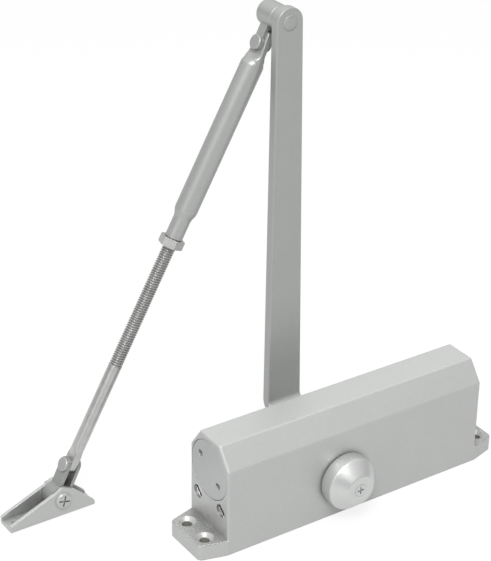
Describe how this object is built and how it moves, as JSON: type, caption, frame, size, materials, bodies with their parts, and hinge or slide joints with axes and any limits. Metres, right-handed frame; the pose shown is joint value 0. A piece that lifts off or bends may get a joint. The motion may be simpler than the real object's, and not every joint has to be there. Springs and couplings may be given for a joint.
{
  "type": "hydraulic door closer",
  "caption": "Surface-mounted hydraulic door closer: chamfered body on flanges, round spindle cap, flat main arm and an adjustable forearm that ends in a hinged bracket.",
  "frame": {"origin": "centre of the fixing holes, on the mounting face under the body", "axes": "+X along the body from the valve end, +Y from the cap to the arm, +Z out of the mounting face"},
  "size_m": [0.2971, 0.1204, 0.2985],
  "materials": {
    "body_paint": "silver paint, satin",
    "plug_paint": "silver paint, satin",
    "cap_paint": "silver paint, satin",
    "arm_paint": "silver paint, satin",
    "linkage_paint": "silver paint, satin",
    "plated_steel": "zinc plated",
    "machined_steel": "ground",
    "spring_steel": "oiled",
    "bearing_bronze": "turned",
    "seal_rubber": "matt"
  },
  "bodies": {
    "housing": {"housing": "body_paint", "left_end_plug": "plug_paint", "right_end_plug": "plug_paint", "left_plug_ring": "seal_rubber", "right_plug_ring": "seal_rubber", "front_bush": "bearing_bronze", "rear_bush": "bearing_bronze", "front_gland": "plated_steel", "rear_gland": "plated_steel", "front_shaft_seal": "seal_rubber", "rear_shaft_seal": "seal_rubber"},
    "spindle": {"pinion_spindle": "machined_steel", "spindle_cap": "cap_paint", "cap_screw": "plated_steel", "main_arm": "arm_paint", "arm_washer": "plated_steel", "arm_screw": "plated_steel", "elbow_rivet": "linkage_paint", "elbow_washer": "linkage_paint"},
    "piston": {"piston": "machined_steel", "check_ball": "machined_steel", "check_spring": "spring_steel", "check_retainer": "machined_steel", "outer_spring": "spring_steel", "inner_spring": "spring_steel"},
    "knuckle": {"elbow_knuckle": "linkage_paint", "elbow_pin": "linkage_paint"},
    "tube": {"forearm_tube": "linkage_paint"},
    "lock_nut": {"lock_nut": "plated_steel"},
    "rod": {"adjusting_rod": "plated_steel"},
    "link": {"shoe_link": "linkage_paint", "shoe_pin": "linkage_paint"},
    "shoe": {"shoe_bracket": "linkage_paint", "link_bush": "machined_steel", "axle_screw": "plated_steel", "axle_nut": "plated_steel"},
    "closing_valve": {"closing_valve": "plated_steel", "closing_valve_ring": "seal_rubber"},
    "latching_valve": {"latching_valve": "plated_steel", "latching_valve_ring": "seal_rubber"}
  },
  "joints": [
    {"name": "spindle_turn", "type": "hinge", "parent": "housing", "child": "spindle", "pos_m": [-0.0107, 0, 0.0248], "axis": [0, 1, 0], "range_deg": [0, 180], "stiffness_Nm_per_rad": 6, "springref_deg": -85.94},
    {"name": "piston_slide", "type": "slide", "parent": "housing", "child": "piston", "axis": [1, 0, 0], "range_m": [0, 0.0315], "deforming": ["outer_spring", "inner_spring"]},
    {"name": "elbow_turn", "type": "hinge", "parent": "spindle", "child": "knuckle", "pos_m": [-0.01364, 0.05835, 0.28978], "axis": [0, 1, 0], "range_deg": [-26, 150]},
    {"name": "tube_pin_turn", "type": "hinge", "parent": "knuckle", "child": "tube", "pos_m": [-0.02146, 0.05835, 0.27413], "axis": [0.8947, 0, -0.4466], "range_deg": [-2, 12]},
    {"name": "rod_adjust", "type": "slide", "parent": "tube", "child": "rod", "axis": [-0.446, 0.0533, -0.8935], "range_m": [-0.05, 0.03]},
    {"name": "lock_nut_turn", "type": "hinge", "parent": "tube", "child": "lock_nut", "pos_m": [-0.07707, 0.065, 0.16271], "axis": [-0.446, 0.0533, -0.8935], "continuous": true},
    {"name": "eye_pin_turn", "type": "hinge", "parent": "rod", "child": "link", "pos_m": [-0.14401, 0.073, 0.0286], "axis": [0.8947, 0, -0.4466], "range_deg": [-8, 8]},
    {"name": "shoe_turn", "type": "hinge", "parent": "link", "child": "shoe", "pos_m": [-0.1529, 0.073, 0.0108], "axis": [0, 1, 0], "range_deg": [-50, 60]},
    {"name": "closing_valve_turn", "type": "hinge", "parent": "housing", "child": "closing_valve", "pos_m": [-0.0927, 0.012, 0.0264], "axis": [1, 0, 0], "range_deg": [-360, 360]},
    {"name": "latching_valve_turn", "type": "hinge", "parent": "housing", "child": "latching_valve", "pos_m": [-0.0927, -0.012, 0.0264], "axis": [1, 0, 0], "range_deg": [-360, 360]}
  ],
  "couplings": [
    {"joint": "piston_slide", "follows": "spindle_turn", "m_per_rad": 0.01}
  ]
}
